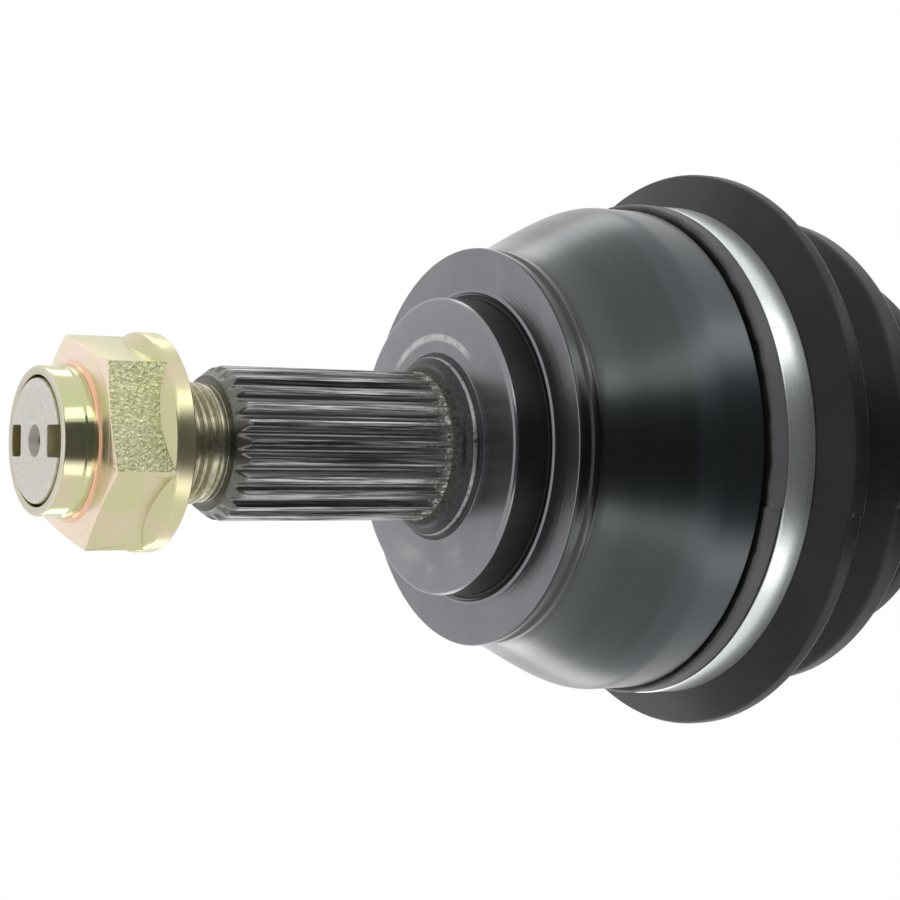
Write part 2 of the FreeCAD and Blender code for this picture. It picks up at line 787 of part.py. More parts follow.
def boot(low, seat_end, seat_radius, start, way, folds):
    """Closed solid of a boot, and where its narrow cuff starts."""
    crests, lining = folds_of(start, way, folds)
    cuff = seat_radius + boot_wall
    turn = start + way * (folds[-1][0] + cuff_run)
    tip = turn + way * narrow_cuff_length
    outer = [
        (low, seat_radius + edge_gap),
        (low, cuff + lip_height, 0.6),
        (low + way * lip_width, cuff + lip_height, 0.5),
        (low + way * lip_width, cuff),
        (start - way * rise_run, cuff, 0.8),
    ]
    outer += crests
    outer += [
        (turn, narrow_cuff, 1.5),
        (tip - way * lip_end, narrow_cuff),
        (tip - way * lip_end, narrow_cuff + lip_end_height, 0.4),
        (tip, narrow_cuff + lip_end_height, 0.4),
        (tip, bar_radius + edge_gap),
    ]
    inner = [(turn + way * 2.0, bar_radius + edge_gap), (turn - way * 0.2, bar_radius + 2.2, 1.0)]
    inner += reversed(lining)
    inner.append((seat_end + way * 0.6, seat_radius + edge_gap))
    return turned(outer + inner), turn


fold_edge_round = 1.2
fold_valley_round = 1.9
fold_inner_round = 3.2
valley_share = 0.4
crest_share = 1.2
valley_wall = 1.7
rise_run = 5.0
cuff_run = 8.0
lip_height = 0.7
lip_width = 3.6
lip_end = 2.2
lip_end_height = 1.0
narrow_cuff_length = 15.0
narrow_cuff = bar_radius + boot_wall + 1.0
wheel_cuff = boot_seat_radius + boot_wall
wheel_boot_low = boot_seat_start + 0.3
wheel_folds_start = bell_end + 2.5
wheel_boot, wheel_turn = boot(
    wheel_boot_low, bell_end, boot_seat_radius, wheel_folds_start, 1, wheel_folds
)
save(wheel_boot, "wheel_boot")
gearbox_cuff = cup_seat_radius + boot_wall
gearbox_boot_low = cup_low + cup_seat_length - 0.4
gearbox_folds_start = cup_low - 2.8
gearbox_boot, gearbox_turn = boot(
    gearbox_boot_low, cup_low, cup_seat_radius, gearbox_folds_start, -1, gearbox_folds
)
save(gearbox_boot, "gearbox_boot")

# Clamps on the four cuffs
wheel_clamp_x = wheel_boot_low + lip_width + 0.3
save(
    band_clamp(wheel_clamp_x, wheel_clamp_width, wheel_cuff + edge_gap, 9.0, 6.0),
    "wheel_boot_large_clamp",
)
save(
    band_clamp(
        gearbox_boot_low - lip_width - 0.3 - small_clamp_width,
        small_clamp_width,
        gearbox_cuff + edge_gap,
        9.0,
        6.0,
    ),
    "gearbox_boot_large_clamp",
)
clamp_inset = 4.0
save(
    band_clamp(wheel_turn + clamp_inset, small_clamp_width, narrow_cuff + edge_gap, 7.0, 4.5),
    "wheel_boot_small_clamp",
)
save(
    band_clamp(
        gearbox_turn - clamp_inset - small_clamp_width, small_clamp_width, narrow_cuff + edge_gap, 7.0, 4.5
    ),
    "gearbox_boot_small_clamp",
)
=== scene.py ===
"""Drive shaft seen from its wheel end: dressing of the CAD frame for the photograph's view."""
import math

import bpy
from mathutils import Matrix, Vector


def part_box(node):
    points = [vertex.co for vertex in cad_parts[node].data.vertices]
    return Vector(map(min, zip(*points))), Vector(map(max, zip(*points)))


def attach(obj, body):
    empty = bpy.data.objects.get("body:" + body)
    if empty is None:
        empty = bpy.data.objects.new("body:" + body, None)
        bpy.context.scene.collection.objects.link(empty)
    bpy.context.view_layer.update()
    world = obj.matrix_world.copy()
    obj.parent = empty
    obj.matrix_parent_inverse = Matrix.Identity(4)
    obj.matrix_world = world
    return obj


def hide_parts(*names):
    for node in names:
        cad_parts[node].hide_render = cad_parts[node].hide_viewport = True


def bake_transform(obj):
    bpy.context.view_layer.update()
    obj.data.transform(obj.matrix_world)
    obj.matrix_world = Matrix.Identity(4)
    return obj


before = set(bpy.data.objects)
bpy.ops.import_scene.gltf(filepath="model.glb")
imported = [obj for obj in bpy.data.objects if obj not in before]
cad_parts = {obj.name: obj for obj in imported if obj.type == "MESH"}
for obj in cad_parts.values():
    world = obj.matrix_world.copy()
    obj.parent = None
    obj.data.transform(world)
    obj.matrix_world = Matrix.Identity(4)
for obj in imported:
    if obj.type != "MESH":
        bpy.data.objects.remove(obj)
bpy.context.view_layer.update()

MM = 0.001
TURN = 2 * math.pi


# Modelling helpers: everything is shaped in edit mode, in place, about the X axis
def deselect():
    """Leave edit mode and select nothing."""
    if bpy.context.mode != "OBJECT":
        bpy.ops.object.mode_set(mode="OBJECT")
    bpy.ops.object.select_all(action="DESELECT")


def edit(obj):
    """Open one object in edit mode, with nothing selected."""
    deselect()
    obj.select_set(True)
    bpy.context.view_layer.objects.active = obj
    bpy.ops.object.mode_set(mode="EDIT")
    bpy.ops.mesh.select_mode(type="VERT")
    bpy.ops.mesh.select_all(action="DESELECT")


def pick(obj, test, kind="VERT"):
    """Select what passes a test on its centre, in edit mode."""
    bpy.ops.mesh.select_mode(type=kind)
    bpy.ops.mesh.select_all(action="DESELECT")
    bpy.ops.object.mode_set(mode="OBJECT")
    mesh = obj.data
    if kind == "VERT":
        for v in mesh.vertices:
            v.select = bool(test(v.co))
    elif kind == "EDGE":
        for e in mesh.edges:
            middle = (mesh.vertices[e.vertices[0]].co + mesh.vertices[e.vertices[1]].co) / 2
            e.select = bool(test(middle))
    else:
        for p in mesh.polygons:
            p.select = bool(test(p.center))
    bpy.ops.object.mode_set(mode="EDIT")


def angle_of(p):
    """Angle about the axis in degrees, 0 at +Y, 90 at +Z."""
    return math.degrees(math.atan2(p.z, p.y)) % 360


def named(name):
    """Name the new primitive and its mesh."""
    obj = bpy.context.active_object
    obj.name = name
    obj.data.name = name
    return obj


def settle(obj, smooth_deg=32):
    """Merge doubles, face normals outwards, leave edit mode and shade."""
    edit(obj)
    bpy.ops.mesh.select_all(action="SELECT")
    bpy.ops.mesh.remove_doubles(threshold=1e-6)
    bpy.ops.mesh.normals_make_consistent(inside=False)
    bpy.ops.object.mode_set(mode="OBJECT")
    bpy.ops.object.transform_apply(location=True, rotation=True, scale=True)
    bpy.ops.object.shade_smooth_by_angle(angle=math.radians(smooth_deg))
    return obj


def apply_all(obj):
    """Apply each modifier in turn."""
    deselect()
    obj.select_set(True)
    bpy.context.view_layer.objects.active = obj
    for modifier in list(obj.modifiers):
        bpy.ops.object.modifier_apply(modifier=modifier.name)


def boolean(target, tool, kind):
    """Apply one boolean and drop the tool."""
    modifier = target.modifiers.new(kind, "BOOLEAN")
    modifier.operation = kind
    modifier.solver = "EXACT"
    modifier.object = tool
    apply_all(target)
    bpy.data.objects.remove(tool)


def start_point(name):
    """New object of one selected point at the origin, open in edit mode."""
    deselect()
    bpy.ops.mesh.primitive_plane_add(size=MM)
    obj = named(name)
    edit(obj)
    bpy.ops.mesh.select_all(action="SELECT")
    bpy.ops.mesh.merge(type="CENTER")
    return obj


def bezier(poles, parts):
    """Points along a cubic curve."""
    a, b, c, d = (Vector(p) for p in poles)
    points = []
    for n in range(parts + 1):
        t = n / parts
        s = 1 - t
        p = a * s**3 + b * (3 * s * s * t) + c * (3 * s * t * t) + d * t**3
        points.append((p.x, p.y))
    return points


def arc(centre, radius, start, end, parts):
    """Points of an arc about a point on the axis, angles in degrees from +X."""
    points = []
    for n in range(parts + 1):
        a = math.radians(start + (end - start) * n / parts)
        points.append((centre + radius * math.cos(a), radius * math.sin(a)))
    return points


def rounded(corners, parts=5):
    """Outline with arcs at the corners that carry a third number, in millimetres."""
    points = []
    count = len(corners)
    for n, corner in enumerate(corners):
        here = Vector((corner[0], corner[1]))
        size = corner[2] if len(corner) > 2 else 0.0
        if size <= 0 or n in (0, count - 1):
            points.append(here)
            continue
        before = (Vector(corners[n - 1][:2]) - here).normalized()
        after = (Vector(corners[n + 1][:2]) - here).normalized()
        half = before.angle(after) / 2
        back = size / math.tan(half)
        middle = here + (before + after).normalized() * (size / math.sin(half))
        start = here + before * back - middle
        end = here + after * back - middle
        sweep = start.angle_signed(end)
        for k in range(parts + 1):
            a = -sweep * k / parts
            spun = Vector(
                (
                    start.x * math.cos(a) - start.y * math.sin(a),
                    start.x * math.sin(a) + start.y * math.cos(a),
                )
            )
            points.append(middle + spun)
    return points


def lathe(name, corners, steps=128, smooth_deg=32, parts=5):
    """Turn an outline of (x, radius) corners in millimetres about the X axis."""
    points = rounded(corners, parts)
    obj = start_point(name)
    first = Vector((points[0].x * MM, points[0].y * MM, 0))
    bpy.ops.transform.translate(value=first)
    for a, b in zip(points, points[1:]):
        step = Vector(((b.x - a.x) * MM, (b.y - a.y) * MM, 0))
        if step.length > 1e-7:
            bpy.ops.mesh.extrude_region_move(TRANSFORM_OT_translate={"value": step})
    bpy.ops.mesh.select_all(action="SELECT")
    bpy.ops.mesh.spin(
        steps=steps, angle=TURN, center=(0, 0, 0), axis=(1, 0, 0), use_auto_merge=True
    )
    return settle(obj, smooth_deg)


# Shader helpers
class Wire:
    """A shader socket with arithmetic."""

    def __init__(self, tree, socket):
        self.tree = tree
        self.socket = socket

    def join(self, target):
        self.tree.links.new(self.socket, target)

    def feed(self, target, value):
        if isinstance(value, Wire):
            value.join(target)
        else:
            target.default_value = value

    def math(self, kind, other):
        node = self.tree.nodes.new("ShaderNodeMath")
        node.operation = kind
        self.join(node.inputs[0])
        self.feed(node.inputs[1], other)
        return Wire(self.tree, node.outputs[0])

    def __add__(self, other):
        return self.math("ADD", other)

    def __mul__(self, other):
        return self.math("MULTIPLY", other)

    def power(self, other):
        return self.math("POWER", other)

    def band(self, low, high, soft):
        """1 between low and high, falling to 0 over soft on each side."""
        rise = self.ease(low - soft, low)
        fall = self.ease(high + soft, high)
        return rise * fall

    def ease(self, start, end, low=0.0, high=1.0):
        """Smooth step from low at start to high at end."""
        node = self.tree.nodes.new("ShaderNodeMapRange")
        node.interpolation_type = "SMOOTHSTEP"
        self.join(node.inputs[0])
        node.inputs[1].default_value = start
        node.inputs[2].default_value = end
        node.inputs[3].default_value = low
        node.inputs[4].default_value = high
        return Wire(self.tree, node.outputs[0])

    def mix(self, a, b):
        """Colour a where this is 0, b where it is 1."""
        node = self.tree.nodes.new("ShaderNodeMix")
        node.data_type = "RGBA"
        self.join(node.inputs[0])
        for socket, value in ((node.inputs[6], a), (node.inputs[7], b)):
            self.feed(socket, value if isinstance(value, Wire) else (*value, 1.0))
        return Wire(self.tree, node.outputs[2])


class Finish:
    """A Principled material made from wires on object coordinates, in millimetres."""

    def __init__(self, name, colour=(0.5, 0.5, 0.5), metallic=0.0, roughness=0.5, **constants):
        self.material = bpy.data.materials.new(name)
        self.material.use_nodes = True
        self.tree = self.material.node_tree
        self.shader = self.tree.nodes["Principled BSDF"]
        self.set("Base Color", (*colour, 1.0))
        self.set("Metallic", metallic)
        self.set("Roughness", roughness)
        for key, value in constants.items():
            self.set(key.replace("_", " "), value)
        place = self.tree.nodes.new("ShaderNodeTexCoord")
        scaled = self.tree.nodes.new("ShaderNodeVectorMath")
        scaled.operation = "SCALE"
        scaled.inputs["Scale"].default_value = 1000.0
        self.tree.links.new(place.outputs["Object"], scaled.inputs[0])
        self.place = Wire(self.tree, scaled.outputs[0])
        self.bumps = None

    def set(self, key, value):
        """Give a shader input a constant."""
        self.shader.inputs[key].default_value = value

    def drive(self, key, wire):
        """Give a shader input a wire."""
        wire.join(self.shader.inputs[key])

    def axis(self, n):
        """Coordinate 0, 1 or 2."""
        node = self.tree.nodes.new("ShaderNodeSeparateXYZ")
        self.place.join(node.inputs[0])
        return Wire(self.tree, node.outputs[n])

    def reach(self):
        """Distance from the X axis."""
        y = self.axis(1)
        z = self.axis(2)
        return (y * y + z * z).power(0.5)

    def angle(self):
        """Angle about the X axis in radians."""
        return self.axis(2).math("ARCTAN2", self.axis(1))

    def round_place(self, along, across, circular):
        """Coordinates that run along the axis, out from it and round it."""
        node = self.tree.nodes.new("ShaderNodeCombineXYZ")
        (self.axis(0) * along).join(node.inputs[0])
        (self.reach() * across).join(node.inputs[1])
        (self.angle() * circular).join(node.inputs[2])
        return Wire(self.tree, node.outputs[0])

    def noise(self, scale, detail=4.0, rough=0.55, place=None, warp=0.0):
        node = self.tree.nodes.new("ShaderNodeTexNoise")
        (place or self.place).join(node.inputs["Vector"])
        node.inputs["Scale"].default_value = scale
        node.inputs["Detail"].default_value = detail
        node.inputs["Roughness"].default_value = rough
        node.inputs["Distortion"].default_value = warp
        return Wire(self.tree, node.outputs["Fac"])

    def bump(self, height, strength, distance):
        """Add a bump, on top of those already there."""
        node = self.tree.nodes.new("ShaderNodeBump")
        node.inputs["Strength"].default_value = strength
        node.inputs["Distance"].default_value = distance * MM
        height.join(node.inputs["Height"])
        if self.bumps:
            self.tree.links.new(self.bumps, node.inputs["Normal"])
        self.bumps = node.outputs[0]
        self.tree.links.new(self.bumps, self.shader.inputs["Normal"])


def dress(obj, finish):
    """Give an object one material."""
    obj.data.materials.clear()
    obj.data.materials.append(finish.material)


def dress_node(node, finish):
    """Give a CAD node's slots one material."""
    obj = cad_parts[node]
    if not obj.material_slots:
        obj.data.materials.append(finish.material)
    for slot in obj.material_slots:
        slot.material = finish.material


# Camera: fitted to the ellipses in the photograph
CAMERA_PLACE = (-0.22778967, -0.37411717, -0.00046314)
CAMERA_LENS = 91.4586
camera_data = bpy.data.cameras.new("camera")
camera = bpy.data.objects.new("camera", camera_data)
bpy.context.collection.objects.link(camera)
camera_data.sensor_width = 36.0
camera_data.lens = CAMERA_LENS
camera_data.clip_start = 0.01
right = Vector((0.85018009, -0.52632097, 0.01341836))
up = Vector((-0.0111846, 0.00742557, 0.99990988))
back = Vector((-0.52637317, -0.85025355, 0.00042638))
turn = Matrix((right, up, back)).transposed().to_4x4()
camera.matrix_world = Matrix.Translation(CAMERA_PLACE) @ turn
bpy.context.scene.camera = camera
bpy.context.scene.view_settings.view_transform = "Standard"

# Studio: white surround, two long boxes in front, two lamps behind, and dark cards for reflections
def direct_rays(tree):
    """1 for camera, glossy and transmission rays, 0 for all others."""
    paths = tree.nodes.new("ShaderNodeLightPath")
    wire = Wire(tree, paths.outputs["Is Camera Ray"])
    for ray in ("Is Glossy Ray", "Is Transmission Ray"):
        wire = wire.math("MAXIMUM", Wire(tree, paths.outputs[ray]))
    return wire


world = bpy.data.worlds.new("studio")
bpy.context.scene.world = world
world.use_nodes = True
tree = world.node_tree
sky = tree.nodes["Background"]
place = tree.nodes.new("ShaderNodeTexCoord")
split = tree.nodes.new("ShaderNodeSeparateXYZ")
tree.links.new(place.outputs["Generated"], split.inputs[0])
level = Wire(tree, split.outputs[2]).ease(-0.6, 0.8, 0.45, 0.85)
shade = level.mix((0, 0, 0), (1, 1, 1))
direct_rays(tree).mix(shade, (1, 1, 1)).join(sky.inputs["Color"])
sky.inputs["Strength"].default_value = 1.0


def lamp(name, place, size, power):
    """A soft box pointed at the origin."""
    data = bpy.data.lights.new(name, "AREA")
    data.shape = "RECTANGLE"
    data.size, data.size_y = size
    data.energy = power
    obj = bpy.data.objects.new(name, data)
    bpy.context.collection.objects.link(obj)
    obj.location = place
    obj.rotation_euler = (-Vector(place)).to_track_quat("-Z", "Y").to_euler()


LONG_BOX = (1.7, 0.24)
RIM_BOX = (0.7, 0.3)
lamp("upper_box", (0.3, -0.62, 0.62), LONG_BOX, 1.8)
lamp("lower_box", (0.3, -0.62, -0.62), LONG_BOX, 1.3)
lamp("upper_rim", (0.1, 0.62, 0.85), RIM_BOX, 1.1)
lamp("lower_rim", (0.1, 0.66, -0.7), RIM_BOX, 1.1)

flag_finish = Finish("flag_cloth", (0.045, 0.045, 0.045), 0.0, 0.9, Specular_IOR_Level=0.0)


def hide_from_view(flag):
    """Make a card dark, and let reflections alone see it."""
    dress(flag, flag_finish)
    flag.visible_camera = False
    flag.visible_diffuse = False
    flag.visible_shadow = False


FLAG_RADIUS = 1.1


def dark_flag(name, first, last, depth):
    """Curved dark card round the object, between two bearings in degrees."""
    deselect()
    bpy.ops.mesh.primitive_cylinder_add(
        vertices=180, radius=FLAG_RADIUS, depth=depth, end_fill_type="NOTHING"
    )
    flag = named(name)
    edit(flag)
    bearing = lambda p: math.degrees(math.atan2(p.y, p.x)) % 360
    pick(flag, lambda p: (bearing(p) - first) % 360 > last - first, "FACE")
    bpy.ops.mesh.delete(type="FACE")
    bpy.ops.object.mode_set(mode="OBJECT")
    hide_from_view(flag)


dark_flag("long_flag", 207, 375, 1.18)
deselect()
bpy.ops.mesh.primitive_plane_add(size=1)
card = named("near_card")
card.scale = (0.084, 0.062, 1)
card.rotation_euler = (math.radians(90), 0, math.radians(32))
card.location = (-0.2065, 0.2247, 0)
bpy.ops.object.transform_apply(location=True, rotation=True, scale=True)
hide_from_view(card)

deselect()
bpy.ops.mesh.primitive_plane_add(size=5.2, location=(0.2, 0.1, -0.8))
floor = named("floor")
FLOOR_GLOW = 0.85
floor_finish = Finish("floor_paper", (0.9, 0.9, 0.9), 0.0, 0.8)
paper = floor_finish.tree
glow = paper.nodes.new("ShaderNodeEmission")
blend_node = paper.nodes.new("ShaderNodeMixShader")
(direct_rays(paper) * FLOOR_GLOW).join(blend_node.inputs[0])
paper.links.new(floor_finish.shader.outputs[0], blend_node.inputs[1])
paper.links.new(glow.outputs[0], blend_node.inputs[2])
paper.links.new(blend_node.outputs[0], paper.nodes["Material Output"].inputs[0])
dress(floor, floor_finish)


# Materials
def black_oxide():
    """Glossy black bell, greyer and rougher in the band beside the boot."""
    f = Finish("black_oxide", (0.04, 0.05, 0.05), 0.9, 0.28)
    f.set("Coat Roughness", 0.24)
    x = f.axis(0)
    f.drive("Coat Weight", x.ease(13.0, 21.0, 1.0, 0.45))
    band = x.ease(27.5, 29.2)
    cloud = f.noise(0.05, 3, 0.5)
    rings = f.noise(1.0, 3, 0.6, f.round_place(0.7, 0.2, 0.4))
    rim = x.ease(12.4, 13.4)
    colour = rim.mix((0.016, 0.018, 0.02), (0.042, 0.05, 0.05))
    colour = band.mix(colour, (0.052, 0.062, 0.068))
    f.drive("Base Color", (rings.ease(0.4, 0.7) * 0.25).mix(colour, (0.062, 0.07, 0.072)))
    f.drive("Roughness", band * 0.04 + cloud * 0.06 + 0.26)
    f.bump(rings, 0.04, 0.1)
    return f


def boss_black_and_shade():
    """Side of the boss and the groove at its root: dull black scale, its colour held near black as
    painted shade.
    """
    f = Finish("boss_black_and_shade", (0.006, 0.0065, 0.0065), 0.0, 0.45, Specular_IOR_Level=0.3)
    cloud = f.noise(0.3, 4, 0.6)
    # Partly real black scale, partly painted shade: both colours sit near black so the side and
    # the root groove look shaded.
    scale = cloud.ease(0.3, 0.7).mix((0.004, 0.0045, 0.0045), (0.008, 0.0085, 0.0085))
    f.drive("Base Color", scale)
    f.drive("Roughness", cloud * 0.2 + 0.34)
    return f


def turned_steel():
    """Satin machined face with fine circular marks, for the boss and the flange, with a rubbed arc
    and a painted highlight on the boss face.
    """
    f = Finish("turned_steel", (0.3, 0.29, 0.31), 0.95, 0.3)
    rings = f.noise(1.0, 3, 0.6, f.round_place(3.0, 4.0, 0.1))
    cloud = f.noise(0.12, 3, 0.6)
    colour = cloud.ease(0.3, 0.75).mix((0.24, 0.235, 0.255), (0.27, 0.265, 0.285))
    colour = (f.axis(0).ease(3.0, 6.0) * 0.14).mix(colour, (0.0, 0.0, 0.0))
    blotch = f.noise(0.12, 2, 0.4).ease(0.35, 0.65)
    grain = f.noise(0.5, 2, 0.5).ease(0.15, 0.55)
    near = f.axis(0).ease(0.4, 0.1)
    # Top: a real rubbed arc on the boss face. Bottom: painted highlight, a faint lighter patch
    # that stands in for the face's sheen. rubbed carries both.
    upper = f.angle().band(1.0, 2.05, 0.25) * f.reach().band(20.6, 21.2, 0.6) * grain
    painted_lower_sheen = f.angle().band(-2.0, -1.2, 0.3) * f.reach().band(21.5, 23.5, 1.5) * blotch
    rubbed = near * (upper * 0.85 + painted_lower_sheen * 0.16)
    f.drive("Base Color", (rubbed * 0.8).mix(colour, (0.8, 0.8, 0.8)))
    f.drive("Metallic", rubbed * -0.6 + 0.95)
    f.drive("Roughness", rings * 0.08 + rubbed * 0.2 + 0.2)
    f.bump(rings, 0.5, 0.07)
    return f


def shoulder_scale_and_highlight():
    """Root of the stub: dirty olive scale by the teeth, then a dark band and a painted highlight
    on the edge.
    """
    f = Finish("shoulder_scale_and_highlight", (0.06, 0.055, 0.045), 0.4, 0.5)
    x = f.axis(0)
    speck = f.noise(1.3, 5, 0.7)
    dirt = speck.ease(0.35, 0.65).mix((0.018, 0.017, 0.013), (0.075, 0.072, 0.055))
    plum = speck.ease(0.3, 0.7).mix((0.035, 0.034, 0.038), (0.06, 0.058, 0.064))
    colour = x.ease(-3.5, -2.7).mix(dirt, plum)
    # Painted highlight: a light ring, broken up by specks, on the small land at the edge of the
    # root, standing in for the fillet's glint.
    edge = x.band(-1.35, -0.9, 0.12) * speck.ease(0.3, 0.5)
    f.drive("Base Color", (edge * 0.8).mix(colour, (0.5, 0.5, 0.54)))
    f.drive("Metallic", x.ease(-3.5, -2.5, 0.1, 0.8))
    f.drive("Roughness", x.ease(-3.5, -2.7, 0.75, 0.4))
    f.bump(speck * x.ease(-2.4, -3.4), 0.8, 0.35)
    return f


def dark_steel():
    """Phosphated spline: dark flanks, fine rubbed streaks, dirty beside the boss."""
    f = Finish("dark_steel", (0.1, 0.1, 0.105), 0.9, 0.36)
    streak = f.noise(1.0, 5, 0.65, f.round_place(0.06, 3.0, 34.0))
    speck = f.noise(1.3, 4, 0.7)
    tips = f.reach().ease(13.2, 14.0)
    colour = streak.ease(0.35, 0.6).mix((0.06, 0.062, 0.062), (0.24, 0.245, 0.24))
    worn = streak.ease(0.47, 0.6) * tips
    colour = (worn * 0.7).mix(colour, (0.6, 0.61, 0.58))
    inboard = f.axis(0).ease(-14.0, -4.5)
    nose = f.axis(0).ease(-45.0, -46.4)
    dirt = inboard * speck.ease(0.42, 0.6)
    colour = nose.mix(colour, (0.16, 0.157, 0.145))
    f.drive("Base Color", (dirt * 0.85).mix(colour, (0.11, 0.105, 0.08)))
    f.drive("Metallic", dirt * -0.6 + 0.9)
    f.drive("Roughness", dirt * 0.3 + streak * 0.2 + 0.26)
    f.bump(streak, 0.3, 0.08)
    f.bump(speck * inboard, 0.7, 0.3)
    return f


def stub_steel():
    """End of the stub: pale warm-grey face, straw slots and thread, darker undercut and cone."""
    f = Finish("stub_steel", (0.5, 0.5, 0.5), 0.95, 0.3)
    x = f.axis(0)
    fine = f.noise(1.1, 4, 0.6)
    rings = f.noise(1.0, 3, 0.6, f.round_place(2.5, 5.0, 0.15))
    thread = fine.ease(0.3, 0.7).mix((0.34, 0.325, 0.23), (0.5, 0.485, 0.37))
    face = fine.ease(0.3, 0.7).mix((0.76, 0.73, 0.68), (0.86, 0.83, 0.77))
    rust = f.noise(0.9, 3, 0.6).ease(0.56, 0.68) * f.reach().ease(6.0, 2.0) * 0.5
    face = rust.mix(face, (0.3, 0.17, 0.08))
    slot = fine.ease(0.3, 0.7).mix((0.4, 0.36, 0.19), (0.55, 0.5, 0.32))
    slot = f.reach().ease(4.2, 3.4).mix(slot, (0.36, 0.35, 0.31))
    cone = fine.ease(0.3, 0.7).mix((0.11, 0.11, 0.1), (0.155, 0.15, 0.14))
    colour = x.ease(-80.85, -80.6).mix(face, slot)
    colour = x.ease(-73.0, -72.0).mix(colour, thread)
    f.drive("Base Color", x.ease(-48.6, -48.3).mix(colour, cone))
    f.drive("Metallic", x.ease(-73.0, -72.6, 0.35, 0.95))
    f.drive("Roughness", rings * 0.14 + x.ease(-80.85, -80.6, 0.2, 0.0) + 0.24)
    f.bump(rings, 0.2, 0.05)
    return f


def zinc(name, low, high, rough, grain=0.0):
    """Yellow-passivated zinc whose tint drifts between two colours."""
    f = Finish(name, low, 0.92, rough)
    drift = f.noise(0.14, 1, 0.4, warp=0.3)
    fine = f.noise(1.6, 4, 0.6)
    tint = drift.ease(0.3, 0.7).mix(low, high)
    if grain:
        pits = f.noise(1.5, 5, 0.62, warp=0.4)
        tint = (pits.ease(0.62, 0.4) * 0.55).mix(tint, tuple(c * 0.4 for c in low))
        f.bump(pits, 0.9, grain)
    f.drive("Base Color", (fine.ease(0.5, 0.75) * 0.2).mix(tint, (0.75, 0.74, 0.6)))
    f.drive("Roughness", drift * 0.12 + (rough - 0.06))
    return f


def rubber():
    """Moulded boot: matt charcoal with a faint bloom and fine pores."""
    f = Finish("boot_rubber", (0.014, 0.014, 0.014), 0.0, 0.45, Specular_IOR_Level=0.26)
    bloom = f.noise(0.07, 4, 0.6)
    fine = f.noise(1.4, 5, 0.7)
    colour = bloom.ease(0.35, 0.7).mix((0.009, 0.009, 0.009), (0.017, 0.0165, 0.016))
    lip = f.axis(0).ease(47.2, 46.2) * f.reach().ease(47.9, 48.4)
    colour = lip.mix(colour, (0.08, 0.078, 0.083))
    f.drive("Base Color", (fine.ease(0.55, 0.75) * 0.3).mix(colour, (0.035, 0.035, 0.035)))
    f.drive("Roughness", fine * 0.14 + bloom * 0.12 + 0.25)
    f.bump(fine, 0.14, 0.12)
    return f


def galvanised():
    """Clamp band: pale blue-grey with fine grain and faint scratches round the band."""
    f = Finish("galvanised", (0.55, 0.6, 0.63), 0.9, 0.34)
    grain = f.noise(1.8, 4, 0.7)
    scratch = f.noise(1.0, 4, 0.6, f.round_place(4.0, 1.0, 0.5))
    colour = grain.ease(0.3, 0.7).mix((0.7, 0.75, 0.75), (0.82, 0.86, 0.85))
    f.drive("Base Color", (scratch.ease(0.55, 0.7) * 0.3).mix(colour, (0.9, 0.93, 0.92)))
    f.drive("Roughness", scratch * 0.1 + 0.24)
    f.bump(scratch, 0.04, 0.04)
    return f


def ground_steel():
    """Races and cages: hard ground steel with fine circular marks and a blued tint."""
    f = Finish("ground_steel", (0.42, 0.42, 0.44), 0.95, 0.28)
    rings = f.noise(1.0, 4, 0.6, f.round_place(5.0, 4.0, 0.2))
    cloud = f.noise(0.15, 3, 0.6)
    f.drive("Base Color", cloud.ease(0.3, 0.7).mix((0.34, 0.35, 0.39), (0.5, 0.5, 0.51)))
    f.drive("Roughness", rings * 0.2 + 0.18)
    f.bump(rings, 0.08, 0.04)
    return f


def polished_steel():
    """Bearing balls."""
    f = Finish("polished_steel", (0.72, 0.72, 0.74), 1.0, 0.08)
    cloud = f.noise(0.4, 3, 0.6)
    f.drive("Base Color", cloud.ease(0.3, 0.7).mix((0.66, 0.66, 0.69), (0.76, 0.76, 0.77)))
    f.drive("Roughness", cloud * 0.08 + 0.05)
    return f


def spring_steel():
    """Snap rings: dark blued wire."""
    f = Finish("spring_steel", (0.1, 0.1, 0.12), 0.9, 0.34)
    cloud = f.noise(0.6, 4, 0.6)
    f.drive("Base Color", cloud.ease(0.3, 0.7).mix((0.07, 0.075, 0.1), (0.16, 0.15, 0.15)))
    f.drive("Roughness", cloud * 0.2 + 0.24)
    return f


def bar_paint():
    """Satin black bar: thin paint over drawn steel, with faint runs along it."""
    f = Finish("bar_paint", (0.014, 0.014, 0.015), 0.0, 0.34, Coat_Weight=0.2, Coat_Roughness=0.2)
    runs = f.noise(1.0, 4, 0.6, f.round_place(0.05, 0.8, 2.0))
    fine = f.noise(1.0, 4, 0.7)
    colour = runs.ease(0.35, 0.7).mix((0.012, 0.012, 0.013), (0.024, 0.025, 0.027))
    f.drive("Base Color", (fine.ease(0.6, 0.75) * 0.3).mix(colour, (0.05, 0.05, 0.05)))
    f.drive("Roughness", fine * 0.2 + 0.24)
    f.bump(fine, 0.08, 0.1)
    return f


def cup_finish():
    """Gearbox cup and its stub: black oxide cup, ground seal land, dark phosphated spline."""
    f = Finish("cup_finish", (0.014, 0.014, 0.015), 0.5, 0.3)
    x = f.axis(0)
    cloud = f.noise(0.1, 4, 0.6)
    rings = f.noise(1.0, 4, 0.6, f.round_place(4.0, 3.0, 0.15))
    black = cloud.ease(0.35, 0.7).mix((0.011, 0.012, 0.013), (0.024, 0.026, 0.028))
    bright = cloud.ease(0.3, 0.7).mix((0.38, 0.38, 0.39), (0.5, 0.5, 0.5))
    dark = cloud.ease(0.35, 0.7).mix((0.07, 0.07, 0.075), (0.15, 0.15, 0.16))
    machined = x.ease(484.5, 486.5)
    past = x.ease(503.0, 505.0)
    colour = machined.mix(black, bright)
    f.drive("Base Color", past.mix(colour, dark))
    f.drive("Metallic", machined * 0.9)
    f.drive("Roughness", rings * 0.16 + machined * 0.02 + 0.2)
    f.bump(rings, 0.06, 0.05)
    return f


